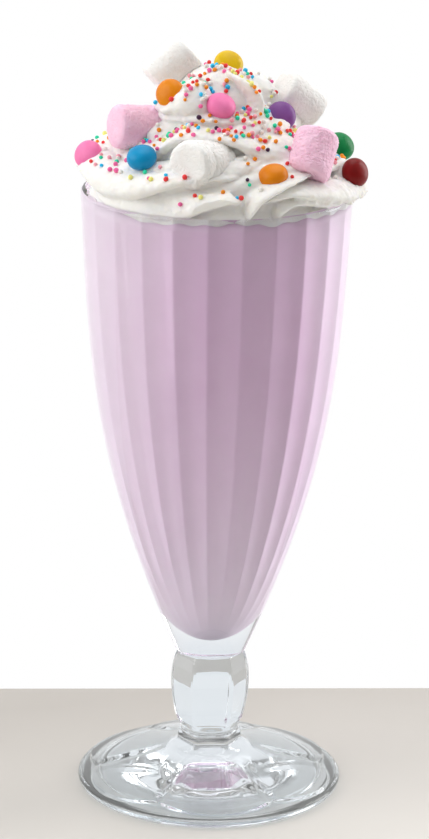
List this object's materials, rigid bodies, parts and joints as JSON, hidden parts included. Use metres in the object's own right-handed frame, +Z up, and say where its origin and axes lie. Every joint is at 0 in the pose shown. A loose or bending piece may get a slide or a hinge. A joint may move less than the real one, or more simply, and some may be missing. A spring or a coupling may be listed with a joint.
{
  "type": "milkshake",
  "caption": "Pink-lilac milkshake in a tall footed fluted glass, heaped with piped whipped cream, mini marshmallows, candies and sprinkles.",
  "frame": {"origin": "centre of the foot's underside, on the surface that the glass stands on", "axes": "+Z up along the glass, -Y towards the front as pictured, +X to the right"},
  "size_m": [0.092, 0.0868, 0.2474],
  "materials": {
    "glass": "clear, polished pressed glass",
    "milkshake": "opaque pale pink-lilac milk drink, smooth",
    "whipped_cream": "soft white whipped cream, satin, slightly translucent",
    "marshmallow_white": "dry powdery skin with fine wrinkles",
    "marshmallow_pink": "dry powdery skin with fine wrinkles",
    "candy_yellow": "smooth sugar shell, satin",
    "candy_orange": "smooth sugar shell, satin",
    "candy_pink": "smooth sugar shell, satin",
    "candy_purple": "smooth sugar shell, satin",
    "candy_blue": "smooth sugar shell, satin",
    "candy_green": "smooth sugar shell, satin",
    "candy_red": "smooth sugar shell, satin"
  },
  "bodies": {
    "root": {"glass": "glass", "milkshake": "milkshake", "whipped_cream": "whipped_cream", "marshmallow_white_front": "marshmallow_white", "marshmallow_white_left": "marshmallow_white", "marshmallow_white_right": "marshmallow_white", "marshmallow_pink_left": "marshmallow_pink", "marshmallow_pink_right": "marshmallow_pink", "marshmallow_pink_back": "marshmallow_pink", "marshmallow_white_back": "marshmallow_white", "candy_yellow_top": "candy_yellow", "candy_orange_high": "candy_orange", "candy_pink_middle": "candy_pink", "candy_purple": "candy_purple", "candy_pink_left": "candy_pink", "candy_blue": "candy_blue", "candy_green": "candy_green", "candy_red": "candy_red", "candy_orange_low": "candy_orange", "candy_yellow_back": "candy_yellow", "candy_green_back": "candy_green", "candy_blue_back": "candy_blue"}
  },
  "joints": []
}
